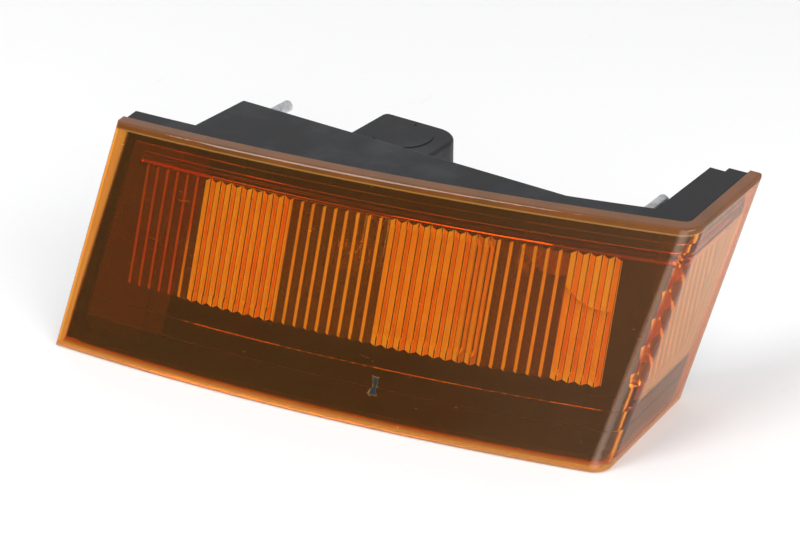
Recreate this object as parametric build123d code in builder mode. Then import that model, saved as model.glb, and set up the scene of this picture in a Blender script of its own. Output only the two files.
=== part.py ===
"""Amber front indicator and side marker lamp: wrap-round ribbed lens, black housing, bulbs and holders.

Frame: +Z up, the lens faces -Y and wraps round to the +X side, the flat underside lies on Z = 0.
"""
import os
from math import radians, tan

from build123d import *

# Lens outline: the front runs from the left end to the bend, the side from the bend to the rear end
lens_span = 236.4
lens_sweep = 49.3
lens_height = 88.6
lens_rake = 43.4
left_lean = 4.0
side_lean = 10.0
side_length = 65.0
side_top_length = 58.5
side_toe = 1.5
front_bow = 6.6
bend_radius = 9.0
bend_setback = 10.0
least_radius = 0.5
beyond = 1.0

# Lens walls and edges
lens_wall = 2.4
skirt_depth = 5.6
face_edge_radius = 1.5

# Two raised fields inside the lens, measured from the underside up and in from both ends
field_step = 0.9
outer_field_low = 14.2
outer_field_high = 81.8
outer_field_trim = 10.6
inner_field_low = 21.0
inner_field_high = 78.3
inner_field_trim = 15.0

# Optics inside the lens
rib_pitch = 4.87
rib_low = 29.5
rib_high = 72.8
rib_start = -7.9
rib_gap = 0.02
prism_angle = 48.0
prism_top = 1.2
prism_point = 3.2
flute_height = 0.75
bar_count = 2
bar_height = 2.0
bar_depth = 1.4
bar_inset = 0.8
side_rib_height = 1.5
side_rib_start = 8.0
side_rib_stop = 62.0
side_rib_rear_gap = 19.0
rib_root = 0.5

# Lens seal and housing
seal_thickness = 0.7
seal_gap = 0.06
flange_depth = 7.6
flange_inset = 0.6
flange_trim = 1.2
housing_wall = 2.2
tongue_reach = 1.6
tongue_wall = 1.8
tongue_clearance = 0.2
tongue_corner = 6.5
box_top_step = 1.3
box_left = -88.0
box_rear = 34.5
box_turn = 76.0
channel_left = 106.4
channel_turn_rear = 43.0
channel_rear_top = 86.4
channel_rear_mid = 67.0
channel_rear_low = 46.0
channel_knee = 21.0
housing_corner = 1.6

# Rear cover over the indicator holder
cover_left = -36.3
cover_right = 4.0
cover_low = 20.0
cover_high = 83.0
cover_depth = 31.0
cover_wall = 2.0
cover_corner = 12.0
cover_edge = 3.0
cover_seal = 1.0
cover_groove_radius = 6.0
cover_groove_width = 1.2
cover_groove_deep = 0.6

# Indicator bulb, bayonet cap, on an axis along Y
indicator_x = -16.0
indicator_z = 44.0
bulb_cap_radius = 7.6
bulb_cap_length = 16.0
bulb_cap_wall = 0.5
bulb_pin_radius = 1.0
bulb_pin_reach = 1.3
bulb_pin_from_base = 6.5
bulb_glass_radius = 13.0
bulb_glass_length = 37.0
bulb_glass_wall = 0.8
bulb_glass_fit = 0.05
bulb_neck_length = 5.0
bulb_cheek_angle = 30.0
bulb_stem_radius = 3.0
bulb_stem_length = 14.0
lead_radius = 0.4
lead_length = 8.0
lead_spacing = 4.6
filament_radius = 0.5
insulator_length = 2.6
solder_radius = 2.2
solder_height = 1.4

# Indicator holder
holder_bore_radius = 14.5
holder_flange_radius = 17.0
holder_flange_thickness = 3.0
holder_clearance = 0.3
holder_back_length = 15.0
holder_barrel_radius = 11.5
holder_floor = 2.5
holder_seal_width = 1.5
pin_slot_width = 2.6
pin_slot_clearance = 0.4
sleeve_clearance = 0.2
sleeve_wall = 0.6
sleeve_length = 13.5
contact_thickness = 0.8
contact_width = 5.0
supply_blade_x = 5.0
blade_width = 6.3
blade_thickness = 0.8
blade_length = 9.0

# Marker bulb, wedge base, on an axis along Y
marker_x = 63.0
marker_z = 61.0
marker_bore_radius = 9.0
marker_flange_radius = 11.5
marker_flange_thickness = 3.0
marker_seal_width = 0.8
marker_barrel_radius = 6.8
marker_front_length = 2.0
marker_back_length = 9.0
marker_glass_radius = 4.8
marker_glass_wall = 0.6
marker_glass_length = 16.0
wedge_width = 9.6
wedge_thickness = 2.6
wedge_length = 6.4
wedge_clearance = 0.15
marker_lead_radius = 0.25
marker_lead_length = 6.0
marker_lead_spacing = 3.0
marker_filament_radius = 0.3
marker_blade_thickness = 0.6
marker_blade_width = 4.8
marker_blade_length = 8.0

# Fixing studs on the rear, along Y
stud_radius = 2.5
stud_length = 20.0
stud_tip = 1.2
stud_root = 6.0
stud_root_radius = 2.2
stud_z = 79.0
stud_inner_x = -80.0
stud_outer_x = 97.0
stud_boss_radius = 4.8
stud_inner_face = 35.7
stud_outer_face = 47.5

os.makedirs("parts", exist_ok=True)


# The lens outline at the underside and at the top
left_foot = Vector(-lens_span / 2, -bend_setback - lens_sweep)
bend_foot = Vector(lens_span / 2, -bend_setback)
end_foot = bend_foot + Vector(-side_toe, side_length)
left_top = left_foot + Vector(left_lean, lens_rake)
bend_top = bend_foot + Vector(side_lean, lens_rake)
end_top = bend_top + Vector(-side_toe, side_top_length)


def rim_points(height, inset, trim):
    """Left end, bend and rear end of the outline at a height, moved in and shortened at both ends."""
    level = height / lens_height
    left = left_foot + (left_top - left_foot) * level
    bend = bend_foot + (bend_top - bend_foot) * level
    end = end_foot + (end_top - end_foot) * level
    front = (bend - left).normalized()
    side = (end - bend).normalized()
    front_in = Vector(-front.Y, front.X)
    side_in = Vector(-side.Y, side.X)
    corner = bend + (side - front) * (inset / front.cross(side).Z)
    return (left + front_in * inset + front * trim, corner, end + side_in * inset - side * trim)


def bow_point(left, bend):
    """Middle of the bowed front between its two ends."""
    front = (bend - left).normalized()
    return (left + bend) * 0.5 + Vector(front.Y, -front.X) * front_bow


def rim_band(height, near, far, trim=0.0):
    """Plan section of the lens outline at a height, between two depths behind its outer face."""
    near_left, near_bend, near_end = rim_points(height, near, trim)
    far_left, far_bend, far_end = rim_points(height, far, trim)
    with BuildSketch(Plane.XY.offset(height)) as band:
        with BuildLine():
            ThreePointArc(near_left, bow_point(near_left, near_bend), near_bend)
            Line(near_bend, near_end)
            Line(near_end, far_end)
            Line(far_end, far_bend)
            ThreePointArc(far_bend, bow_point(far_left, far_bend), far_left)
            Line(far_left, near_left)
        make_face()
        lift = Vector(0, 0, height)
        for corner, depth in ((near_bend, near), (far_bend, far)):
            if bend_radius - depth > least_radius:
                fillet(band.vertices().sort_by_distance(corner + lift)[0], bend_radius - depth)
    return band.sketch


def rim_loft(low, high, near, far, trim=0.0, mode=Mode.ADD):
    """Solid that follows the lens outline between two heights and two depths."""
    return loft([rim_band(low, near, far, trim), rim_band(high, near, far, trim)], ruled=True, mode=mode)


# Directions in the front face: along it to the right, up it, and inwards
front_along = Vector(lens_span, lens_sweep).normalized()
front_shift = Vector((left_lean + side_lean) / 2, lens_rake, lens_height)
front_inward = front_shift.cross(front_along).normalized()
front_up = front_along.cross(front_inward).normalized()
front_length = (bend_foot - left_foot).length
rise = front_up.Z


def front_plane(along, height, depth):
    """Plane on the front wall, X along it to the right and Z inwards, at a depth behind its outer face."""
    up = height / rise
    lean = front_shift.dot(front_along) * height / lens_height
    share = (along - lean + front_length) / front_length
    bow = 4 * front_bow * share * (1 - share)
    slope = 4 * front_bow * (1 - 2 * share) / front_length
    tangent = (front_along - front_inward * slope).normalized()
    inward = tangent.cross(front_up * -1).normalized()
    foot = Vector(bend_foot.X, bend_foot.Y, 0)
    origin = foot + front_along * along + front_up * up - front_inward * bow + inward * depth
    return Plane(origin=origin, x_dir=tangent, z_dir=inward)


rib_middle = (rib_low + rib_high) / 2
rib_length = (rib_high - rib_low) / rise
rib_depth = lens_wall + 2 * field_step - rib_root

# Groups of ribs along the front, from the bend to the left end: number of ribs and whether they are prisms
rib_groups = [(4, True), (6, False), (2, True), (7, True), (9, False), (8, True), (6, False)]


def prism_group(count, middle):
    """A row of pointed prisms on the inner face of the lens."""
    half = (rib_pitch - rib_gap) / 2
    reach = rib_length / 2
    height = (half - prism_top / 2) * tan(radians(prism_angle))
    with BuildSketch(front_plane(middle, rib_middle, rib_depth)) as rows:
        with GridLocations(rib_pitch, 1, count, 1):
            Polygon(
                (-half, prism_point - reach), (0, -reach), (half, prism_point - reach),
                (half, reach - prism_point), (0, reach), (-half, reach - prism_point), align=None)
    extrude(rows.sketch, amount=height, taper=90 - prism_angle)


def flute_group(count, middle):
    """A row of shallow round flutes on the inner face of the lens."""
    base = front_plane(middle, rib_middle, rib_depth)
    section = Plane(origin=base.origin - front_up * (rib_length / 2), x_dir=base.x_dir, z_dir=front_up)
    side = 1 if section.y_dir.dot(base.z_dir) > 0 else -1
    left = -count * rib_pitch / 2
    root = side * rib_root
    with BuildSketch(section) as scallops:
        with BuildLine():
            Line((-left, root), (-left, 0))
            Line((-left, 0), (left, 0))
            Line((left, 0), (left, root))
            for index in range(count):
                start = left + index * rib_pitch
                crest = (start + rib_pitch / 2, root + side * flute_height)
                ThreePointArc((start, root), crest, (start + rib_pitch, root))
        make_face()
    extrude(scallops.sketch, amount=rib_length)


def bar(low):
    """Level saw-tooth bar along the inner face of the lens, above the ribs."""
    trim = inner_field_trim + bar_inset
    base = lens_wall + 2 * field_step
    near = base - 2 * rib_root
    foot = rim_band(low, near, base - rib_root, trim)
    crest = rim_band(low + bar_height / 2, near, base + bar_depth, trim)
    head = rim_band(low + bar_height, near, base - rib_root, trim)
    loft([foot, crest, head], ruled=True)


with BuildPart() as side_ribs:
    # Upright ribs inside the side panel, cut off by the slanted front wall
    rib_count = int((side_rib_stop - side_rib_start) / rib_pitch)
    low_left, low_bend, low_end = rim_points(rib_low, lens_wall + 2 * field_step, 0)
    high_left, high_bend, high_end = rim_points(rib_high, lens_wall + 2 * field_step, 0)
    panel_along = Vector((low_end - low_bend).X, (low_end - low_bend).Y, 0).normalized()
    panel_shift = Vector((high_bend - low_bend).X, (high_bend - low_bend).Y, rib_high - rib_low)
    panel_outward = panel_along.cross(panel_shift).normalized()
    panel_up = panel_outward.cross(panel_along).normalized()
    panel_origin = Vector(low_bend.X, low_bend.Y, rib_low) + panel_outward * rib_root
    with BuildSketch(Plane(origin=panel_origin, x_dir=panel_along, z_dir=panel_up)) as saw:
        with BuildLine():
            run = rib_count * rib_pitch
            Polyline((0, rib_root), (0, 0), (run, 0), (run, rib_root))
            for index in range(rib_count):
                start = index * rib_pitch
                peak = (start + rib_pitch / 2, rib_root + side_rib_height)
                Polyline((start, rib_root), peak, (start + rib_pitch, rib_root))
        make_face()
    extrude(saw.sketch, amount=(rib_high - rib_low) / panel_up.Z)
    rim_loft(
        rib_low - beyond, rib_high + beyond, lens_wall, side_length, side_rib_rear_gap, mode=Mode.INTERSECT)


def rim_edges(edges):
    """Outer edges of the lens: along its top and underside, and up its two ends."""
    found = []
    for height in (0, lens_height):
        left, bend, end = rim_points(height, 0, 0)
        lift = Vector(0, 0, height)
        for point in (bow_point(left, bend), bend, (bend + end) * 0.5):
            found.append(edges.sort_by_distance(point + lift)[0])
    left, bend, end = rim_points(lens_height / 2, 0, 0)
    lift = Vector(0, 0, lens_height / 2)
    for point in (left, end):
        found.append(edges.sort_by_distance(point + lift)[0])
    return found


with BuildPart() as lens:
    rim_loft(0, lens_height, 0, skirt_depth)
    fillet(rim_edges(lens.edges()), face_edge_radius)
    skirt_far = skirt_depth + beyond
    rim_loft(lens_wall, lens_height - lens_wall, lens_wall, skirt_far, lens_wall, mode=Mode.SUBTRACT)
    field_near = lens_wall - rib_root
    rim_loft(outer_field_low, outer_field_high, field_near, lens_wall + field_step, outer_field_trim)
    rim_loft(inner_field_low, inner_field_high, field_near, lens_wall + 2 * field_step, inner_field_trim)
    group_end = rib_start
    for rib_total, is_prism in rib_groups:
        group_middle = group_end - rib_total * rib_pitch / 2
        if is_prism:
            prism_group(rib_total, group_middle)
        else:
            flute_group(rib_total, group_middle)
        group_end -= rib_total * rib_pitch
    add(side_ribs.part)
    for index in range(bar_count):
        bar(inner_field_high - bar_inset - (index + 1) * bar_height)
lens.part.label = "lens"
export_step(lens.part, "parts/lens.step")

# Depths behind the lens face at which the seal and the housing flange begin and end
flange_near = skirt_depth + seal_thickness
flange_far = flange_near + flange_depth
box_top = lens_height - box_top_step

with BuildPart() as lens_seal:
    # Ring between the rear edge of the lens skirt and the housing flange
    seal_near = skirt_depth + seal_gap
    seal_far = flange_near - seal_gap
    rim_loft(flange_inset, lens_height - flange_inset, seal_near, seal_far, flange_inset)
    hole_near = seal_near - beyond
    hole_far = seal_far + beyond
    rim_loft(lens_wall, lens_height - lens_wall, hole_near, hole_far, lens_wall, mode=Mode.SUBTRACT)
lens_seal.part.label = "lens_seal"
export_step(lens_seal.part, "parts/lens_seal.step")


def box_outline(inset):
    """Plan of the deep box behind the flange, moved in by a wall; its front runs out past the lens."""
    with BuildSketch(Plane.XY.offset(inset)) as outline:
        with BuildLine():
            Polyline(
                (box_left + inset, left_foot.Y),
                (box_left + inset, box_rear - inset),
                (box_turn, box_rear - inset),
                (channel_left + inset, channel_turn_rear - inset),
                (bend_top.X, channel_turn_rear - inset),
                (bend_top.X, left_foot.Y),
                close=True)
        make_face()
    return outline.sketch


def channel_outline(inset):
    """Side view of the channel behind the side panel, moved in by a wall."""
    low = flange_inset + inset
    high = lens_height - flange_inset - inset
    with BuildSketch(Plane.YZ.offset(channel_left + inset)) as outline:
        with BuildLine():
            Polyline(
                (bend_foot.Y, low),
                (channel_rear_low - inset, low),
                (channel_rear_mid - inset, channel_knee),
                (channel_rear_top - inset, high),
                (bend_foot.Y, high),
                close=True)
        make_face()
    return outline.sketch


def body_behind(inset, depth, edge=0.0):
    """Deep box and side channel together, moved in by a wall and cut off at a depth behind the lens face."""
    with BuildPart() as body:
        extrude(box_outline(inset), amount=box_top - 2 * inset)
        if edge > 0:
            corner = Vector(box_left, box_rear, box_top / 2)
            turn = Vector(box_turn, box_rear, box_top / 2)
            rear = Vector((box_left + box_turn) / 2, box_rear, box_top)
            side = Vector(box_left, 0, box_top)
            slant = Vector((box_turn + channel_left) / 2, (box_rear + channel_turn_rear) / 2, box_top)
            rounded = [body.edges().sort_by_distance(point)[0] for point in (corner, turn, rear, side, slant)]
            fillet(rounded, edge)
        extrude(channel_outline(inset), amount=bend_top.X - channel_left)
        rim_loft(-beyond, lens_height + beyond, -lens_span, depth, -lens_span, mode=Mode.SUBTRACT)
    return body.part


def corner_edges(edges, low, high, depth, trim):
    """The four edges that run inwards at the corners of a rim loft."""
    found = []
    for height in (low, high):
        left, bend, end = rim_points(height, depth, trim)
        lift = Vector(0, 0, height)
        found.append(edges.sort_by_distance(left + lift)[0])
        found.append(edges.sort_by_distance(end + lift)[0])
    return found


def rounded_rim(inset, near, far, radius):
    """Solid that follows the lens outline, moved in all round, with rounded corners."""
    with BuildPart() as block:
        rim_loft(inset, lens_height - inset, near, far, inset)
        middle = (near + far) / 2
        fillet(corner_edges(block.edges(), inset, lens_height - inset, middle, inset), radius)
    return block.part


with BuildPart() as tongue:
    # Frame on the flange that reaches into the lens skirt
    outer = lens_wall + tongue_clearance
    inner = outer + tongue_wall
    near = skirt_depth - tongue_reach
    far = flange_far - housing_wall / 2
    add(rounded_rim(outer, near, far, tongue_corner + tongue_wall))
    add(rounded_rim(inner, near - beyond, far + beyond, tongue_corner), mode=Mode.SUBTRACT)


def rear_at(x, z, y):
    """Plane that looks along +Y at a point, for turned pieces on the rear wall."""
    return Plane(origin=(x, y, z), x_dir=(1, 0, 0), z_dir=(0, 1, 0))


with BuildPart() as housing:
    flange_low = flange_inset
    flange_high = lens_height - flange_inset
    rim_loft(flange_low, flange_high, flange_near, flange_far, flange_trim)
    add(body_behind(0, flange_near + flange_depth / 2, housing_corner))
    add(body_behind(housing_wall, flange_near + housing_wall), mode=Mode.SUBTRACT)
    inside = flange_inset + housing_wall
    rim_loft(inside, lens_height - inside, flange_near - beyond, flange_far - housing_wall,
             flange_trim + housing_wall, mode=Mode.SUBTRACT)
    add(tongue.part)
    for stud_x, face in ((stud_inner_x, stud_inner_face), (stud_outer_x, stud_outer_face)):
        with BuildSketch(rear_at(stud_x, stud_z, face)):
            Circle(stud_boss_radius)
        extrude(amount=-stud_root - housing_wall)
        with BuildSketch(rear_at(stud_x, stud_z, face)):
            Circle(stud_root_radius)
        extrude(amount=-stud_root, mode=Mode.SUBTRACT)
    with BuildSketch(rear_at(indicator_x, indicator_z, box_rear)):
        Circle(holder_bore_radius)
    extrude(amount=-2 * housing_wall, mode=Mode.SUBTRACT)
    with BuildSketch(rear_at(marker_x, marker_z, box_rear)):
        Circle(marker_bore_radius)
    extrude(amount=-2 * housing_wall, mode=Mode.SUBTRACT)
housing.part.label = "housing"
export_step(housing.part, "parts/housing.step")


def disc(plane, radius, length, mode=Mode.ADD):
    """Round slab that starts on a plane and runs along it."""
    with BuildSketch(plane) as circle:
        Circle(radius)
    return extrude(circle.sketch, amount=length, mode=mode)


def at_indicator(y):
    """Plane across the indicator bulb's axis."""
    return rear_at(indicator_x, indicator_z, y)


def at_marker(y):
    """Plane across the marker bulb's axis."""
    return rear_at(marker_x, marker_z, y)


# Places along the indicator's axis, from the wall to the rear
wall_front = box_rear - housing_wall
cover_front = box_rear + cover_seal
cover_rear = cover_front + cover_depth
holder_flange_y = box_rear + holder_seal_width
holder_back_y = holder_flange_y + holder_flange_thickness + holder_back_length
holder_floor_y = holder_back_y - holder_floor
cap_base_y = holder_floor_y - contact_thickness - solder_height
cap_front_y = cap_base_y - bulb_cap_length
sleeve_radius = bulb_cap_radius + sleeve_clearance
sleeve_outer = sleeve_radius + sleeve_wall
sleeve_front_y = holder_floor_y - sleeve_length
earth_blade_x = -(sleeve_radius + sleeve_wall / 2)
blade_end_y = cover_rear + blade_length
pin_y = cap_base_y - bulb_pin_from_base
pin_slot_height = 2 * (bulb_cap_radius + bulb_pin_reach + pin_slot_clearance)
pin_slot_end_y = pin_y + bulb_pin_radius + pin_slot_clearance

with BuildPart() as rear_cover:
    # Box over the indicator holder, open towards the housing
    cover_middle_x = (cover_left + cover_right) / 2
    cover_middle_z = (cover_low + cover_high) / 2
    cover_width = cover_right - cover_left
    cover_height = cover_high - cover_low
    with BuildSketch(Plane.XY.offset(cover_low)) as cover_plan:
        with Locations((cover_middle_x, cover_front)):
            Rectangle(cover_width, cover_depth, align=(Align.CENTER, Align.MIN))
        rear_corners = cover_plan.vertices().group_by(Axis.Y)[-1].sort_by(Axis.X)
        fillet(rear_corners[-1], cover_corner)
        fillet(cover_plan.vertices().group_by(Axis.Y)[-1].sort_by(Axis.X)[0], cover_edge)
    extrude(amount=cover_height)
    top_edges = rear_cover.faces().sort_by(Axis.Z)[-1].edges().sort_by(Axis.Y)[1:]
    fillet(top_edges, cover_edge / 2)
    with BuildSketch(Plane.XY.offset(cover_low + cover_wall)) as cover_inside:
        with Locations((cover_middle_x, cover_front)):
            inside_width = cover_width - 2 * cover_wall
            Rectangle(inside_width, cover_depth - cover_wall, align=(Align.CENTER, Align.MIN))
        fillet(cover_inside.vertices().group_by(Axis.Y)[-1].sort_by(Axis.X)[-1], cover_corner - cover_wall)
    extrude(amount=cover_height - 2 * cover_wall, mode=Mode.SUBTRACT)
    # Shallow moulded ring and notch on the top
    with BuildSketch(Plane.XY.offset(cover_high)):
        with Locations((cover_middle_x, cover_front + cover_depth / 2)):
            Circle(cover_groove_radius)
            Circle(cover_groove_radius - cover_groove_width, mode=Mode.SUBTRACT)
            Rectangle(cover_groove_width, cover_groove_radius, align=(Align.CENTER, Align.MIN))
    extrude(amount=-cover_groove_deep, mode=Mode.SUBTRACT)
    # Slots in the rear wall for the two blades
    with BuildSketch(at_indicator(cover_rear)):
        with Locations((supply_blade_x, 0), (earth_blade_x, 0)):
            Rectangle(blade_thickness + 2 * holder_clearance, blade_width + 2 * holder_clearance)
    extrude(amount=-cover_wall, mode=Mode.SUBTRACT)
rear_cover.part.label = "rear_cover"
export_step(rear_cover.part, "parts/rear_cover.step")

with BuildPart() as rear_cover_seal:
    # Flat gasket between the cover and the rear wall
    with BuildSketch(rear_at(cover_middle_x, cover_middle_z, box_rear)):
        Rectangle(cover_width, cover_height)
        Rectangle(cover_width - 2 * cover_wall, cover_height - 2 * cover_wall, mode=Mode.SUBTRACT)
    extrude(amount=cover_seal)
rear_cover_seal.part.label = "rear_cover_seal"
export_step(rear_cover_seal.part, "parts/rear_cover_seal.step")

with BuildPart() as indicator_holder:
    # Twist-in holder: plug in the wall bore, flange behind it, barrel that takes the socket sleeve
    disc(at_indicator(wall_front), holder_bore_radius - holder_clearance, holder_flange_y - wall_front)
    disc(at_indicator(holder_flange_y), holder_flange_radius, holder_flange_thickness)
    disc(at_indicator(holder_flange_y), holder_barrel_radius, holder_back_y - holder_flange_y)
    disc(at_indicator(wall_front), sleeve_outer, holder_floor_y - wall_front, Mode.SUBTRACT)
    # Run for the bayonet pins
    with BuildSketch(at_indicator(wall_front)):
        Rectangle(pin_slot_width, pin_slot_height)
    extrude(amount=pin_slot_end_y - wall_front, mode=Mode.SUBTRACT)
    # Slots in the floor for the two blades
    with BuildSketch(at_indicator(holder_back_y)):
        with Locations((supply_blade_x, 0), (earth_blade_x, 0)):
            Rectangle(blade_thickness, blade_width)
    extrude(amount=-holder_floor, mode=Mode.SUBTRACT)
indicator_holder.part.label = "indicator_holder"
export_step(indicator_holder.part, "parts/indicator_holder.step")

with BuildPart() as indicator_holder_seal:
    # Rubber ring under the holder's flange
    disc(at_indicator(box_rear), holder_flange_radius, holder_seal_width)
    disc(at_indicator(box_rear), holder_bore_radius, holder_seal_width, Mode.SUBTRACT)
indicator_holder_seal.part.label = "indicator_holder_seal"
export_step(indicator_holder_seal.part, "parts/indicator_holder_seal.step")

with BuildPart() as indicator_sleeve:
    # Rolled socket shell with its earth blade
    disc(at_indicator(sleeve_front_y), sleeve_outer, sleeve_length)
    disc(at_indicator(sleeve_front_y), sleeve_radius, sleeve_length, Mode.SUBTRACT)
    with BuildSketch(at_indicator(sleeve_front_y)):
        Rectangle(pin_slot_width, pin_slot_height)
    extrude(amount=pin_slot_end_y - sleeve_front_y, mode=Mode.SUBTRACT)
    with BuildSketch(at_indicator(holder_floor_y)):
        with Locations((earth_blade_x, 0)):
            Rectangle(blade_thickness, blade_width)
    extrude(amount=blade_end_y - holder_floor_y)
indicator_sleeve.part.label = "indicator_sleeve"
export_step(indicator_sleeve.part, "parts/indicator_sleeve.step")

with BuildPart() as indicator_contact:
    # Centre contact on the holder's floor with its supply blade
    with BuildSketch(at_indicator(holder_floor_y)):
        with Locations((supply_blade_x + blade_thickness / 2, 0)):
            Rectangle(supply_blade_x + solder_radius, contact_width, align=(Align.MAX, Align.CENTER))
    extrude(amount=-contact_thickness)
    with BuildSketch(at_indicator(holder_floor_y)):
        with Locations((supply_blade_x, 0)):
            Rectangle(blade_thickness, blade_width)
    extrude(amount=blade_end_y - holder_floor_y)
indicator_contact.part.label = "indicator_contact"
export_step(indicator_contact.part, "parts/indicator_contact.step")

with BuildPart() as indicator_bulb_cap:
    # Bayonet cap with its two pins
    disc(at_indicator(cap_front_y), bulb_cap_radius, bulb_cap_length)
    with BuildSketch(Plane(origin=(indicator_x, pin_y, indicator_z))):
        Circle(bulb_pin_radius)
    extrude(amount=bulb_cap_radius + bulb_pin_reach, both=True)
    disc(at_indicator(cap_front_y), bulb_cap_radius - bulb_cap_wall, bulb_cap_length, Mode.SUBTRACT)
indicator_bulb_cap.part.label = "indicator_bulb_cap"
export_step(indicator_bulb_cap.part, "parts/indicator_bulb_cap.step")

with BuildPart() as indicator_bulb_insulator:
    # Insulating disc in the cap's end
    disc(at_indicator(cap_base_y), bulb_cap_radius - bulb_cap_wall, -insulator_length)
indicator_bulb_insulator.part.label = "indicator_bulb_insulator"
export_step(indicator_bulb_insulator.part, "parts/indicator_bulb_insulator.step")

with BuildPart() as indicator_bulb_solder:
    # Solder pip on the insulator
    disc(at_indicator(cap_base_y), solder_radius, solder_height)
    fillet(indicator_bulb_solder.faces().sort_by(Axis.Y)[-1].edges(), solder_height / 2)
indicator_bulb_solder.part.label = "indicator_bulb_solder"
export_step(indicator_bulb_solder.part, "parts/indicator_bulb_solder.step")

neck_radius = bulb_cap_radius - bulb_cap_wall - bulb_glass_fit
glass_base_y = cap_front_y + bulb_neck_length

with BuildPart() as indicator_bulb_glass:
    # Pear-shaped envelope with the glass stem inside its neck
    ball = bulb_glass_length - bulb_glass_radius
    inner_radius = bulb_glass_radius - bulb_glass_wall
    neck_inside = neck_radius - bulb_glass_wall
    cheek = Vector(bulb_glass_radius, 0).rotate(Axis.Z, -bulb_cheek_angle) + Vector(0, ball)
    cheek_inside = Vector(inner_radius, 0).rotate(Axis.Z, -bulb_cheek_angle) + Vector(0, ball)
    brow = Vector(bulb_glass_radius, 0).rotate(Axis.Z, bulb_cheek_angle) + Vector(0, ball)
    brow_inside = Vector(inner_radius, 0).rotate(Axis.Z, bulb_cheek_angle) + Vector(0, ball)
    profile = Plane(origin=(indicator_x, glass_base_y, indicator_z), x_dir=(1, 0, 0), z_dir=(0, 0, -1))
    with BuildSketch(profile):
        with BuildLine():
            Polyline((0, 0), (neck_radius, 0), (neck_radius, bulb_neck_length), cheek)
            ThreePointArc(cheek, brow, (0, bulb_glass_length))
            Line((0, bulb_glass_length), (0, ball + inner_radius))
            ThreePointArc((0, ball + inner_radius), brow_inside, cheek_inside)
            Polyline(
                cheek_inside, (neck_inside, bulb_neck_length), (neck_inside, bulb_glass_wall),
                (bulb_stem_radius, bulb_glass_wall), (bulb_stem_radius, bulb_stem_length),
                (0, bulb_stem_length), (0, 0))
        make_face()
    revolve(axis=Axis((indicator_x, 0, indicator_z), (0, 1, 0)))
indicator_bulb_glass.part.label = "indicator_bulb_glass"
export_step(indicator_bulb_glass.part, "parts/indicator_bulb_glass.step")

stem_top_y = glass_base_y - bulb_stem_length

with BuildPart() as indicator_bulb_leads:
    # Two lead wires that stand on the stem
    with BuildSketch(at_indicator(stem_top_y)):
        with GridLocations(lead_spacing, 1, 2, 1):
            Circle(lead_radius)
    extrude(amount=-lead_length)
indicator_bulb_leads.part.label = "indicator_bulb_leads"
export_step(indicator_bulb_leads.part, "parts/indicator_bulb_leads.step")

with BuildPart() as indicator_bulb_filament:
    # Coil stretched between the tips of the leads
    coil_length = lead_spacing + 2 * lead_radius
    coil_y = stem_top_y - lead_length - filament_radius
    with BuildSketch(Plane.YZ.offset(indicator_x - coil_length / 2)):
        with Locations((coil_y, indicator_z)):
            Circle(filament_radius)
    extrude(amount=coil_length)
indicator_bulb_filament.part.label = "indicator_bulb_filament"
export_step(indicator_bulb_filament.part, "parts/indicator_bulb_filament.step")

# Places along the marker's axis
marker_flange_y = box_rear + marker_seal_width
marker_front_y = wall_front - marker_front_length
marker_back_y = marker_flange_y + marker_flange_thickness + marker_back_length
marker_slot_y = marker_front_y + wedge_length
marker_blade_x = wedge_thickness / 2 + wedge_clearance + marker_blade_thickness / 2

with BuildPart() as marker_holder:
    # Twist-in holder with a slot for the wedge base and its contact strips
    disc(at_marker(marker_front_y), marker_barrel_radius, marker_back_y - marker_front_y)
    disc(at_marker(wall_front), marker_bore_radius - holder_clearance, marker_flange_y - wall_front)
    disc(at_marker(marker_flange_y), marker_flange_radius, marker_flange_thickness)
    with BuildSketch(at_marker(marker_front_y)):
        Rectangle(2 * marker_blade_x + marker_blade_thickness, wedge_width + 2 * wedge_clearance)
    extrude(amount=wedge_length, mode=Mode.SUBTRACT)
    with BuildSketch(at_marker(marker_slot_y)):
        with GridLocations(2 * marker_blade_x, 1, 2, 1):
            Rectangle(marker_blade_thickness, marker_blade_width)
    extrude(amount=marker_back_y - marker_slot_y, mode=Mode.SUBTRACT)
marker_holder.part.label = "marker_holder"
export_step(marker_holder.part, "parts/marker_holder.step")

with BuildPart() as marker_holder_seal:
    # Rubber ring under the marker holder's flange
    disc(at_marker(box_rear), marker_flange_radius, marker_seal_width)
    disc(at_marker(box_rear), marker_bore_radius, marker_seal_width, Mode.SUBTRACT)
marker_holder_seal.part.label = "marker_holder_seal"
export_step(marker_holder_seal.part, "parts/marker_holder_seal.step")

with BuildPart() as marker_terminals:
    # Two strips, each a contact beside the wedge and a blade at the rear
    with BuildSketch(at_marker(marker_front_y)):
        with GridLocations(2 * marker_blade_x, 1, 2, 1):
            Rectangle(marker_blade_thickness, marker_blade_width)
    extrude(amount=marker_back_y + marker_blade_length - marker_front_y)
marker_terminals.part.label = "marker_terminals"
export_step(marker_terminals.part, "parts/marker_terminals.step")

with BuildPart() as marker_bulb_glass:
    # Capsule with a flat pressed base
    straight = marker_glass_length - marker_glass_radius
    inside = marker_glass_radius - marker_glass_wall
    marker_profile = Plane(origin=(marker_x, marker_front_y, marker_z), x_dir=(1, 0, 0), z_dir=(0, 0, -1))
    with BuildSketch(marker_profile):
        with BuildLine():
            Polyline((0, 0), (marker_glass_radius, 0), (marker_glass_radius, straight))
            RadiusArc((marker_glass_radius, straight), (0, marker_glass_length), -marker_glass_radius)
            Line((0, marker_glass_length), (0, marker_glass_length - marker_glass_wall))
            RadiusArc((0, marker_glass_length - marker_glass_wall), (inside, straight), inside)
            Polyline((inside, straight), (inside, marker_glass_wall), (0, marker_glass_wall), (0, 0))
        make_face()
    revolve(axis=Axis((marker_x, 0, marker_z), (0, 1, 0)))
    with BuildSketch(at_marker(marker_front_y)):
        Rectangle(wedge_thickness, wedge_width)
    extrude(amount=wedge_length)
marker_bulb_glass.part.label = "marker_bulb_glass"
export_step(marker_bulb_glass.part, "parts/marker_bulb_glass.step")

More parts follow.
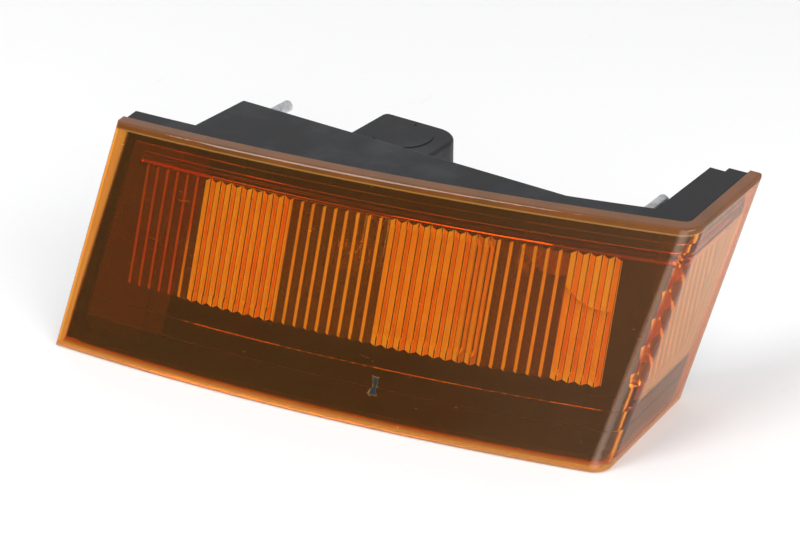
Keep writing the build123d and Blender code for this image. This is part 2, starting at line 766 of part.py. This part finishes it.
marker_lead_y = marker_front_y - marker_glass_wall

with BuildPart() as marker_bulb_leads:
    # Two lead wires that stand on the pressed base
    with BuildSketch(at_marker(marker_lead_y)):
        with GridLocations(1, marker_lead_spacing, 1, 2):
            Circle(marker_lead_radius)
    extrude(amount=-marker_lead_length)
marker_bulb_leads.part.label = "marker_bulb_leads"
export_step(marker_bulb_leads.part, "parts/marker_bulb_leads.step")

with BuildPart() as marker_bulb_filament:
    # Coil stretched between the tips of the leads
    marker_coil_length = marker_lead_spacing + 2 * marker_lead_radius
    marker_coil_y = marker_lead_y - marker_lead_length - marker_filament_radius
    with BuildSketch(Plane.XY.offset(marker_z - marker_coil_length / 2)):
        with Locations((marker_x, marker_coil_y)):
            Circle(marker_filament_radius)
    extrude(amount=marker_coil_length)
marker_bulb_filament.part.label = "marker_bulb_filament"
export_step(marker_bulb_filament.part, "parts/marker_bulb_filament.step")

with BuildPart() as fixing_studs:
    # Two studs that stand on the housing's bosses, each with a thinner root moulded in
    for stud_x, face in ((stud_inner_x, stud_inner_face), (stud_outer_x, stud_outer_face)):
        disc(rear_at(stud_x, stud_z, face - stud_root), stud_root_radius, stud_root)
        disc(rear_at(stud_x, stud_z, face), stud_radius, stud_length)
    tips = fixing_studs.faces().filter_by(Axis.Y).filter_by(lambda side: side.normal_at().Y > 0)
    fillet(tips.edges(), stud_tip)
fixing_studs.part.label = "fixing_studs"
export_step(fixing_studs.part, "parts/fixing_studs.step")
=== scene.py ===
"""Looks of the amber indicator and marker lamp: materials, fine detail, light and camera."""
import math

import bpy
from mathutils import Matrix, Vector


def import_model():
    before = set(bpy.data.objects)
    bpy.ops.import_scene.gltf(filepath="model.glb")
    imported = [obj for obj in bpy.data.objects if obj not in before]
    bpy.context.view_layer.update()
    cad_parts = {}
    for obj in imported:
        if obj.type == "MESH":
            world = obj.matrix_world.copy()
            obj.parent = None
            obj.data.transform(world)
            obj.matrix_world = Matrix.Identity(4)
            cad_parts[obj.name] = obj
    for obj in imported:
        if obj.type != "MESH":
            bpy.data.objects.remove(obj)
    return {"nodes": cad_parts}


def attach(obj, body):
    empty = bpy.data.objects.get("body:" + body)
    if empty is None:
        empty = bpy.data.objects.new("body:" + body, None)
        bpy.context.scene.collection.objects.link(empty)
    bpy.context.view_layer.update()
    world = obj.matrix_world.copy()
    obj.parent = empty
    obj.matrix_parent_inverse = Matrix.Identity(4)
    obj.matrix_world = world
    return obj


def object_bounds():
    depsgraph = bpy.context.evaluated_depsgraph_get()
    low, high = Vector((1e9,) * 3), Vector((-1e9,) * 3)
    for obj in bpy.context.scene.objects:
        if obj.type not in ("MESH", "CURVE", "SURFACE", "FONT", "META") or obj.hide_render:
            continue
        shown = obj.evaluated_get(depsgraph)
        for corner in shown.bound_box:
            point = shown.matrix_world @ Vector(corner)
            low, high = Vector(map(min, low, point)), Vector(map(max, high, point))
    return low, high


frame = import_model()
cad_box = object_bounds()
nodes = frame["nodes"]

# Lens geometry in metres, as in the part: foot of the bend, directions in the front face, and bow
MM = 0.001
LENS_SPAN = 236.4 * MM
LENS_SWEEP = 49.3 * MM
LENS_HEIGHT = 88.6 * MM
LENS_RAKE = 43.4 * MM
FRONT_LEAN = 7.0 * MM
FRONT_BOW = 6.6 * MM
BEND_FOOT = Vector((118.2, -10.0, 0.0)) * MM
ALONG = Vector((LENS_SPAN, LENS_SWEEP, 0.0)).normalized()
RISE = Vector((FRONT_LEAN, LENS_RAKE, LENS_HEIGHT))
INWARD = RISE.cross(ALONG).normalized()
UP = ALONG.cross(INWARD).normalized()
FRONT_LENGTH = math.hypot(LENS_SPAN, LENS_SWEEP)

# Rows of ribs on the front: pitch, place of the first, heights, and the depth at which they begin
RIB_PITCH = 4.87 * MM
RIB_START = -7.9 * MM
RIB_LOW = 29.5 * MM
RIB_HIGH = 72.8 * MM
ROW_MARGIN = 1.4 * MM
PRISM_DEPTH = 3.4 * MM
POINT_SHOWN = 1.2 * MM
# Ribs in each group from the bend to the left end, and how strongly painted reflected light is laid on that
# group's prisms
RIB_GROUPS = [(4, 1.0), (6, 0.0), (2, 0.55), (7, 1.0), (9, 0.0), (8, 1.0), (6, 0.0)]
ROWS_END = RIB_START - sum(count for count, level in RIB_GROUPS) * RIB_PITCH
# Strength of the painted glint lines and of the painted glow in the dark groups
GLINT_LINE_LEVEL = 0.72
GLOW_LEVEL = 0.10

# Side panel: fine ribs painted in light and shade, its height and run, and how much shorter the panel gets
# with height
SIDE_PITCH = 2.43 * MM
SIDE_LOW = 24.0 * MM
SIDE_HIGH = 77.0 * MM
SIDE_NEAR = 8.0 * MM
SIDE_FAR = 52.0 * MM
SIDE_SHORTENS = 6.5 / 88.6
SIDE_SHADING_LEVEL = 0.3

# Painted glow at the edges of the lens and painted shade on its top edge, its clearness, and the rub mark on
# the lower front
RIM_GLOW_LEVEL = 0.30
TOP_EDGE_SHADE_LEVEL = 0.93
CLEARNESS = 0.972
RUB_ALONG = -94.5 * MM
RUB_HEIGHT = 16.2 * MM

# Camera fitted to the photograph
CAMERA_PLACE = Vector((391.4, -531.5, 405.6)) * MM
CAMERA_AIM = Vector((-14.3, 45.75, 24.06)) * MM
CAMERA_LENS = 84.6
CAMERA_SENSOR = 36.0

# Surroundings: their level, the direction that the front face mirrors, and the direction of the bright side
WORLD_LEVEL = 0.66
FRONT_MIRROR = (-0.16, -0.94, 0.31)
CAMERA_SIDE = (0.52, -0.80, 0.31)
# Direction, where its patch begins and is full as a cosine, and the change of level there
WORLD_PATCHES = ((FRONT_MIRROR, 0.78, 0.93, -0.85), (CAMERA_SIDE, 0.78, 0.97, 3.6))


class Graph:
    """Short names for the shader nodes that the materials here are made of."""

    def __init__(self, name):
        self.material = bpy.data.materials.new(name)
        self.material.use_nodes = True
        self.tree = self.material.node_tree
        self.tree.nodes.clear()
        self.output = self.tree.nodes.new("ShaderNodeOutputMaterial")
        self.place = self.tree.nodes.new("ShaderNodeTexCoord").outputs["Object"]

    def put(self, value, socket):
        """Links an output to a socket, or sets a constant on it."""
        if isinstance(value, bpy.types.NodeSocket):
            self.tree.links.new(value, socket)
        else:
            socket.default_value = value

    def math(self, operation, first, second=0.0, clamp=False):
        node = self.tree.nodes.new("ShaderNodeMath")
        node.operation = operation
        node.use_clamp = clamp
        self.put(first, node.inputs[0])
        self.put(second, node.inputs[1])
        return node.outputs[0]

    def dot(self, first, direction):
        node = self.tree.nodes.new("ShaderNodeVectorMath")
        node.operation = "DOT_PRODUCT"
        self.put(first, node.inputs[0])
        self.put(direction, node.inputs[1])
        return node.outputs["Value"]

    def shift(self, first, second):
        node = self.tree.nodes.new("ShaderNodeVectorMath")
        node.operation = "SUBTRACT"
        self.put(first, node.inputs[0])
        self.put(second, node.inputs[1])
        return node.outputs["Vector"]

    def axis(self, letter, place=None):
        node = self.tree.nodes.new("ShaderNodeSeparateXYZ")
        self.put(place or self.place, node.inputs[0])
        return node.outputs[letter]

    def step(self, value, low, high):
        """0 below low, 1 above high, smooth between."""
        node = self.tree.nodes.new("ShaderNodeMapRange")
        node.interpolation_type = "SMOOTHSTEP"
        self.put(value, node.inputs["Value"])
        node.inputs["From Min"].default_value = low
        node.inputs["From Max"].default_value = high
        return node.outputs["Result"]

    def between(self, value, low, high, soft):
        """1 between low and high, with soft edges."""
        rising = self.step(value, low - soft, low + soft)
        falling = self.step(value, high + soft, high - soft)
        return self.math("MULTIPLY", rising, falling)

    def noise(self, scale, detail=4.0, roughness=0.55, stretch=(1.0, 1.0, 1.0), distortion=0.0):
        mapping = self.tree.nodes.new("ShaderNodeMapping")
        self.put(self.place, mapping.inputs["Vector"])
        mapping.inputs["Scale"].default_value = stretch
        node = self.tree.nodes.new("ShaderNodeTexNoise")
        self.put(mapping.outputs[0], node.inputs["Vector"])
        node.inputs["Scale"].default_value = scale
        node.inputs["Detail"].default_value = detail
        node.inputs["Roughness"].default_value = roughness
        node.inputs["Distortion"].default_value = distortion
        return node.outputs["Fac"]

    def mix(self, factor, first, second):
        node = self.tree.nodes.new("ShaderNodeMix")
        node.data_type = "RGBA"
        self.put(factor, node.inputs["Factor"])
        self.put(first, node.inputs["A"])
        self.put(second, node.inputs["B"])
        return node.outputs["Result"]

    def steps(self, value, stops):
        """Stepped ramp from (position, level) pairs."""
        node = self.tree.nodes.new("ShaderNodeValToRGB")
        ramp = node.color_ramp
        ramp.interpolation = "CONSTANT"
        for index, (position, level) in enumerate(stops):
            stop = ramp.elements[index] if index < 2 else ramp.elements.new(position)
            stop.position = position
            stop.color = (level, level, level, 1.0)
        self.put(value, node.inputs[0])
        return node.outputs["Color"]

    def bump(self, height, strength, distance):
        node = self.tree.nodes.new("ShaderNodeBump")
        node.inputs["Strength"].default_value = strength
        node.inputs["Distance"].default_value = distance
        self.put(height, node.inputs["Height"])
        return node.outputs[0]

    def principled(self, **values):
        """Principled shader on the output; keyword names are its sockets with spaces as underscores."""
        node = self.tree.nodes.new("ShaderNodeBsdfPrincipled")
        for name, value in values.items():
            self.put(value, node.inputs[name.replace("_", " ")])
        self.put(node.outputs[0], self.output.inputs["Surface"])
        return node


def colour(red, green, blue):
    """Linear colour from display values of 0 to 255."""
    return tuple((part / 255) ** 2.2 for part in (red, green, blue)) + (1.0,)


def lens_material():
    """Amber plastic: clear walls, painted reflected light on the prism groups, painted glow at the edges,
    painted shading of the side ribs, painted shade on the top edge, scuffs on the outside.
    """
    graph = Graph("amber_lens")
    local = graph.shift(graph.place, BEND_FOOT)
    along = graph.dot(local, ALONG)
    height = graph.axis("Z")
    lean = graph.math("MULTIPLY", height, RISE.dot(ALONG) / LENS_HEIGHT)
    offset = graph.math("ADD", graph.math("SUBTRACT", along, lean), FRONT_LENGTH)
    share = graph.math("DIVIDE", offset, FRONT_LENGTH)
    rest = graph.math("SUBTRACT", 1.0, share)
    bow = graph.math("MULTIPLY", graph.math("MULTIPLY", share, rest), 4 * FRONT_BOW)
    depth = graph.math("ADD", graph.dot(local, INWARD), bow)

    # Which group of ribs a place belongs to, and how much painted reflected light that group gets
    stops = [(0.0, 0.0)]
    edge = ROWS_END
    for count, level in reversed(RIB_GROUPS):
        stops.append(((edge + FRONT_LENGTH) / FRONT_LENGTH, level))
        edge += count * RIB_PITCH
    stops.append(((edge + FRONT_LENGTH) / FRONT_LENGTH, 0.0))
    rows = graph.between(along, ROWS_END, RIB_START, 0.1 * MM)
    ramp_at = graph.math("DIVIDE", graph.math("ADD", along, FRONT_LENGTH), FRONT_LENGTH)
    group = graph.steps(ramp_at, stops)
    in_band = graph.between(height, RIB_LOW - ROW_MARGIN, RIB_HIGH + ROW_MARGIN, 0.3 * MM)
    inside = graph.step(depth, PRISM_DEPTH, PRISM_DEPTH + 0.3 * MM)

    # Place inside one rib: 0 at its left edge, 1 at its right edge, and how far it is from the middle
    turns = graph.math("DIVIDE", graph.math("SUBTRACT", along, RIB_START), RIB_PITCH)
    across = graph.math("FRACT", turns)
    off_middle = graph.math("ABSOLUTE", graph.math("SUBTRACT", across, 0.5))
    taper = graph.math("MULTIPLY", off_middle, 2 * POINT_SHOWN * UP.z)
    above = graph.math("SUBTRACT", graph.math("SUBTRACT", height, RIB_LOW - ROW_MARGIN), taper)
    below = graph.math("SUBTRACT", graph.math("SUBTRACT", RIB_HIGH + ROW_MARGIN, height), taper)
    pointed = graph.step(graph.math("MINIMUM", above, below), -0.1 * MM, 0.2 * MM)
    in_rows = graph.math("MULTIPLY", graph.math("MULTIPLY", in_band, inside), pointed)
    # Painted reflected light: yellow and orange on the prism flanks of the bright groups
    flank = graph.math("MULTIPLY", graph.step(off_middle, 0.035, 0.055), graph.step(off_middle, 0.49, 0.46))
    bright = graph.math("MULTIPLY", graph.math("MULTIPLY", group, in_rows), flank)
    plain = graph.math("MULTIPLY", graph.math("SUBTRACT", 1.0, group, True), rows)
    # Painted glint lines and a painted glow in the dark groups
    painted_glint_line = graph.math("MULTIPLY", graph.between(across, 0.08, 0.34, 0.04), GLINT_LINE_LEVEL)
    painted_glint_line = graph.math("MULTIPLY", graph.math("MULTIPLY", plain, painted_glint_line), in_rows)
    glow = graph.math("MULTIPLY", graph.math("MULTIPLY", plain, in_rows), GLOW_LEVEL)

    # Painted glow at the edges: along the underside, up the left end and at the rear of the side panel
    edge_low = graph.step(height, 4.2 * MM, 2.6 * MM)
    edge_left = graph.step(offset, 4.4 * MM, 2.8 * MM)
    raked = graph.math("MULTIPLY", height, LENS_RAKE / LENS_HEIGHT)
    behind = graph.math("SUBTRACT", graph.math("SUBTRACT", graph.axis("Y"), raked), BEND_FOOT.y)
    side_end = graph.math("ADD", behind, graph.math("MULTIPLY", height, SIDE_SHORTENS))
    edge_rear = graph.step(side_end, 60.5 * MM, 62.0 * MM)
    edges = graph.math("MAXIMUM", graph.math("MAXIMUM", edge_low, edge_left), edge_rear)
    painted_rim_glow = graph.math("MULTIPLY", edges, RIM_GLOW_LEVEL)
    # All painted light on the lens together: prism light, glint lines, glow in the dark rows and glow at the
    # edges
    lit = graph.math("ADD", graph.math("ADD", bright, painted_glint_line, True), graph.math("MAXIMUM", glow, painted_rim_glow), True)

    # Colours of the painted reflected light on the rows and of the painted glow at the edges
    cloud = graph.step(graph.noise(55.0, 3.0), 0.3, 0.7)
    yellow = graph.mix(cloud, (1.0, 1.0, 0.55, 1.0), (1.0, 0.86, 0.36, 1.0))
    orange = graph.mix(cloud, (1.0, 0.56, 0.12, 1.0), (1.0, 0.40, 0.08, 1.0))
    painted_light_colour = graph.mix(graph.step(across, 0.56, 0.64), yellow, orange)
    painted_light_colour = graph.mix(graph.step(painted_rim_glow, 0.05, 0.2), painted_light_colour, (1.0, 0.36, 0.02, 1.0))

    # Side panel: painted light and shade of fine upright ribs, pale at each rib's edges and dark at its
    # middle, laid thinly over the lens colour
    normal = graph.tree.nodes.new("ShaderNodeNewGeometry").outputs["True Normal"]
    facing = graph.step(graph.axis("X", normal), 0.75, 0.95)
    side_band = graph.between(height, SIDE_LOW, SIDE_HIGH, 0.4 * MM)
    side_across = graph.math("FRACT", graph.math("DIVIDE", graph.axis("Y"), SIDE_PITCH))
    ridge = graph.math("ABSOLUTE", graph.math("SUBTRACT", side_across, 0.5))
    ridge_tone = graph.math("MULTIPLY", ridge, 1.7)
    side_rib_tone = graph.math("ADD", ridge_tone, graph.math("MULTIPLY", cloud, 0.15), True)
    side_rib_shading = graph.mix(side_rib_tone, (0.48, 0.10, 0.02, 1.0), (1.0, 0.44, 0.18, 1.0))
    side_run = graph.math("MULTIPLY", graph.between(behind, SIDE_NEAR, SIDE_FAR, 0.5 * MM), SIDE_SHADING_LEVEL)
    painted_side_shading = graph.math("MULTIPLY", graph.math("MULTIPLY", facing, side_band), side_run)

    # Scuffs, haze and scratches
    scuff = graph.step(graph.noise(420.0, 6.0, 0.7, stretch=(1.0, 1.0, 0.25)), 0.60, 0.80)
    haze = graph.step(graph.noise(26.0, 3.0), 0.45, 0.75)
    scratch = graph.step(graph.noise(700.0, 2.0, 0.5, stretch=(0.05, 1.0, 1.0), distortion=0.6), 0.72, 0.76)
    roughness = graph.math("ADD", graph.math("MULTIPLY", scuff, 0.14), graph.math("MULTIPLY", haze, 0.03))
    roughness = graph.math("ADD", roughness, graph.math("MULTIPLY", scratch, 0.25))
    roughness = graph.math("ADD", roughness, 0.02)
    body = graph.mix(haze, (1.0, 0.50, 0.11, 1.0), (1.0, 0.44, 0.08, 1.0))

    # Dark rub mark on the lower front
    rub_noise = graph.math("MULTIPLY", graph.noise(420.0, 4.0), 5.0 * MM)
    rub_left = graph.math("ABSOLUTE", graph.math("SUBTRACT", along, RUB_ALONG))
    rub_up = graph.math("ABSOLUTE", graph.math("SUBTRACT", height, RUB_HEIGHT))
    rub_width = graph.step(graph.math("ADD", rub_left, rub_noise), 3.9 * MM, 3.6 * MM)
    rub_length = graph.step(graph.math("ADD", rub_up, rub_noise), 5.8 * MM, 5.4 * MM)
    rub = graph.math("MULTIPLY", rub_width, rub_length)
    rub = graph.math("MULTIPLY", rub, graph.step(depth, 1.2 * MM, 0.6 * MM))

    # Body, painted light of the rows, painted shading of the side ribs, rub mark and the painted shade of the
    # top edge together
    base = graph.mix(painted_side_shading, graph.mix(lit, body, painted_light_colour), side_rib_shading)
    base = graph.mix(rub, base, (0.02, 0.03, 0.035, 1.0))
    # Painted shade: a dark brown band along the top edge of the lens
    top_edge_shade = graph.math("MULTIPLY", graph.step(height, 85.6 * MM, 86.6 * MM), TOP_EDGE_SHADE_LEVEL)
    top_shade_tone = graph.mix(cloud, (0.07, 0.016, 0.004, 1.0), (0.12, 0.03, 0.008, 1.0))
    base = graph.mix(top_edge_shade, base, top_shade_tone)
    covered = graph.math("MAXIMUM", graph.math("ADD", lit, painted_side_shading), top_edge_shade)
    clear = graph.math("SUBTRACT", CLEARNESS, graph.math("ADD", covered, rub), True)
    graph.principled(
        Base_Color=base,
        Roughness=roughness,
        IOR=1.49,
        Transmission_Weight=clear,
        Normal=graph.bump(scuff, 0.05, 0.0002))
    volume = graph.tree.nodes.new("ShaderNodeVolumeAbsorption")
    volume.inputs["Color"].default_value = (0.985, 0.80, 0.05, 1.0)
    volume.inputs["Density"].default_value = 250.0
    graph.put(volume.outputs[0], graph.output.inputs["Volume"])
    return graph.material


def plastic_material(name, dark, light, roughness):
    """Matt moulded plastic with a fine grain, rubbed lighter in patches."""
    graph = Graph(name)
    grain = graph.noise(2600.0, 3.0)
    patches = graph.step(graph.noise(38.0, 5.0, 0.6), 0.42, 0.75)
    specks = graph.step(graph.noise(900.0, 2.0), 0.66, 0.74)
    tone = graph.math("ADD", graph.math("MULTIPLY", patches, 0.55), graph.math("MULTIPLY", specks, 0.5), True)
    rough = graph.math("SUBTRACT", roughness, graph.math("MULTIPLY", patches, 0.10))
    graph.principled(
        Base_Color=graph.mix(tone, dark, light),
        Roughness=rough,
        Specular_IOR_Level=0.42,
        Normal=graph.bump(grain, 0.22, 0.00012))
    return graph.material


def rubber_material():
    """Dull black rubber with a faint bloom."""
    graph = Graph("seal_rubber")
    bloom = graph.step(graph.noise(160.0, 4.0), 0.45, 0.8)
    graph.principled(
        Base_Color=graph.mix(bloom, (0.012, 0.012, 0.013, 1.0), (0.04, 0.04, 0.042, 1.0)),
        Roughness=0.72,
        Normal=graph.bump(graph.noise(1800.0, 2.0), 0.2, 0.0001))
    return graph.material


def metal_material(name, clean, dull, roughness, scale=300.0):
    """Bare or plated metal with dull stains."""
    graph = Graph(name)
    stain = graph.step(graph.noise(scale, 5.0, 0.62), 0.4, 0.72)
    graph.principled(
        Base_Color=graph.mix(stain, clean, dull),
        Metallic=1.0,
        Roughness=graph.math("ADD", graph.math("MULTIPLY", stain, 0.22), roughness),
        Normal=graph.bump(graph.noise(scale * 6, 2.0), 0.12, 0.00008))
    return graph.material


def glass_material():
    """Clear bulb glass with a thin film."""
    graph = Graph("bulb_glass")
    film = graph.step(graph.noise(90.0, 3.0), 0.45, 0.8)
    graph.principled(
        Base_Color=graph.mix(film, (1.0, 1.0, 1.0, 1.0), (0.93, 0.95, 0.95, 1.0)),
        Roughness=graph.math("MULTIPLY", film, 0.05),
        IOR=1.5,
        Transmission_Weight=1.0)
    return graph.material


def dress(material, *names):
    """Gives CAD nodes a material on their object slots."""
    for name in names:
        node = nodes[name]
        if not node.material_slots:
            node.data.materials.append(None)
        for place in node.material_slots:
            place.link = "OBJECT"
            place.material = material


dress(lens_material(), "lens")
black = plastic_material("black_plastic", colour(22, 23, 26), colour(44, 46, 50), 0.5)
dress(black, "housing", "rear_cover")
holder = plastic_material("holder_plastic", colour(24, 24, 26), colour(46, 46, 48), 0.55)
dress(holder, "indicator_holder", "marker_holder")
dress(rubber_material(), "lens_seal", "rear_cover_seal", "indicator_holder_seal", "marker_holder_seal")
brass = metal_material("brass", (0.70, 0.52, 0.24, 1.0), (0.42, 0.30, 0.14, 1.0), 0.28)
dress(brass, "indicator_sleeve", "indicator_contact", "indicator_bulb_cap", "marker_terminals")
dress(plastic_material("insulator", colour(16, 16, 18), colour(40, 40, 44), 0.3), "indicator_bulb_insulator")
tin = metal_material("tin_solder", (0.66, 0.66, 0.64, 1.0), (0.44, 0.44, 0.43, 1.0), 0.35)
dress(tin, "indicator_bulb_solder")
wire = metal_material("bulb_wire", (0.52, 0.51, 0.50, 1.0), (0.34, 0.33, 0.33, 1.0), 0.3, 900.0)
dress(wire, "indicator_bulb_leads", "indicator_bulb_filament", "marker_bulb_leads", "marker_bulb_filament")
dress(glass_material(), "indicator_bulb_glass", "marker_bulb_glass")
zinc = metal_material("zinc_steel", (0.70, 0.71, 0.72, 1.0), (0.46, 0.47, 0.48, 1.0), 0.32)
dress(zinc, "fixing_studs")


def cover_recess():
    """Round field on the rear cover's top, with a small notch at its rear edge."""
    middle = Vector((-16.15, 51.0)) * MM
    low = 83.02 * MM
    high = 83.3 * MM
    radius = 12.5 * MM
    notch_half = 1.8 * MM
    notch_front = middle.y + radius - 2.4 * MM
    gap = 9.0
    segments = 72
    outline = []
    for index in range(segments + 1):
        angle = math.radians(90 + gap + index * (360 - 2 * gap) / segments)
        outline.append((middle.x + radius * math.cos(angle), middle.y + radius * math.sin(angle)))
    outline.append((middle.x + notch_half, notch_front))
    outline.append((middle.x - notch_half, notch_front))
    total = len(outline)
    points = [(x, y, low) for x, y in outline] + [(x, y, high) for x, y in outline]
    faces = [tuple(reversed(range(total))), tuple(range(total, 2 * total))]
    for index in range(total):
        after = (index + 1) % total
        faces.append((index, after, total + after, total + index))
    mesh = bpy.data.meshes.new("cover_top_field")
    mesh.from_pydata(points, [], faces)
    mesh.materials.append(black)
    piece = bpy.data.objects.new("cover_top_field", mesh)
    bpy.context.scene.collection.objects.link(piece)
    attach(piece, "root")


cover_recess()


def floor():
    """Pale worktop with faint marks."""
    half = 3.0
    corners = [(-half, -half, 0), (half, -half, 0), (half, half, 0), (-half, half, 0)]
    mesh = bpy.data.meshes.new("floor")
    mesh.from_pydata(corners, [], [(0, 1, 2, 3)])
    table = bpy.data.objects.new("floor", mesh)
    table.location.z = cad_box[0][2]
    bpy.context.scene.collection.objects.link(table)
    graph = Graph("pale_worktop")
    marks = graph.step(graph.noise(60.0, 6.0, 0.7, stretch=(1.0, 0.3, 1.0)), 0.62, 0.8)
    graph.principled(
        Base_Color=graph.mix(marks, (0.90, 0.90, 0.905, 1.0), (0.84, 0.845, 0.86, 1.0)),
        Roughness=0.6,
        Specular_IOR_Level=0.2)
    mesh.materials.append(graph.material)


def area_light(name, place, aim, size, power):
    """Round soft lamp that looks at a point."""
    data = bpy.data.lights.new(name, "AREA")
    data.shape = "DISK"
    data.size = size
    data.energy = power
    light = bpy.data.objects.new(name, data)
    light.location = place
    light.rotation_euler = (Vector(aim) - Vector(place)).to_track_quat("-Z", "Y").to_euler()
    bpy.context.scene.collection.objects.link(light)


def world():
    """White surroundings, darker where the front face mirrors them, brighter on the camera's side."""
    scene_world = bpy.data.worlds.new("studio")
    scene_world.use_nodes = True
    tree = scene_world.node_tree
    back = tree.nodes["Background"]
    towards = tree.nodes.new("ShaderNodeTexCoord").outputs["Generated"]
    level = WORLD_LEVEL
    for direction, near, full, gain in WORLD_PATCHES:
        dot = tree.nodes.new("ShaderNodeVectorMath")
        dot.operation = "DOT_PRODUCT"
        tree.links.new(towards, dot.inputs[0])
        dot.inputs[1].default_value = direction
        share = tree.nodes.new("ShaderNodeMapRange")
        share.interpolation_type = "SMOOTHSTEP"
        tree.links.new(dot.outputs["Value"], share.inputs["Value"])
        share.inputs["From Min"].default_value = near
        share.inputs["From Max"].default_value = full
        share.inputs["To Min"].default_value = 1.0
        share.inputs["To Max"].default_value = 1.0 + gain
        product = tree.nodes.new("ShaderNodeMath")
        product.operation = "MULTIPLY"
        tree.links.new(share.outputs["Result"], product.inputs[0])
        if isinstance(level, float):
            product.inputs[1].default_value = level
        else:
            tree.links.new(level, product.inputs[1])
        level = product.outputs[0]
    seen = tree.nodes.new("ShaderNodeMix")
    tree.links.new(tree.nodes.new("ShaderNodeLightPath").outputs["Is Camera Ray"], seen.inputs["Factor"])
    tree.links.new(level, seen.inputs["A"])
    seen.inputs["B"].default_value = 1.0
    back.inputs["Color"].default_value = (1.0, 1.0, 1.0, 1.0)
    tree.links.new(seen.outputs["Result"], back.inputs["Strength"])
    bpy.context.scene.world = scene_world


def camera():
    """Camera at the photograph's angle."""
    data = bpy.data.cameras.new("camera")
    data.sensor_width = CAMERA_SENSOR
    data.lens = CAMERA_LENS
    view = bpy.data.objects.new("camera", data)
    view.location = CAMERA_PLACE
    view.rotation_euler = (CAMERA_AIM - CAMERA_PLACE).to_track_quat("-Z", "Y").to_euler()
    bpy.context.scene.collection.objects.link(view)
    bpy.context.scene.camera = view


floor()
world()
area_light("key", (-0.5, -0.9, 1.5), (0, 0, 0.04), 0.9, 13.0)
area_light("fill", (1.2, -0.2, 0.9), (0, 0, 0.04), 0.8, 6.0)
camera()
bpy.context.scene.view_settings.view_transform = "Standard"
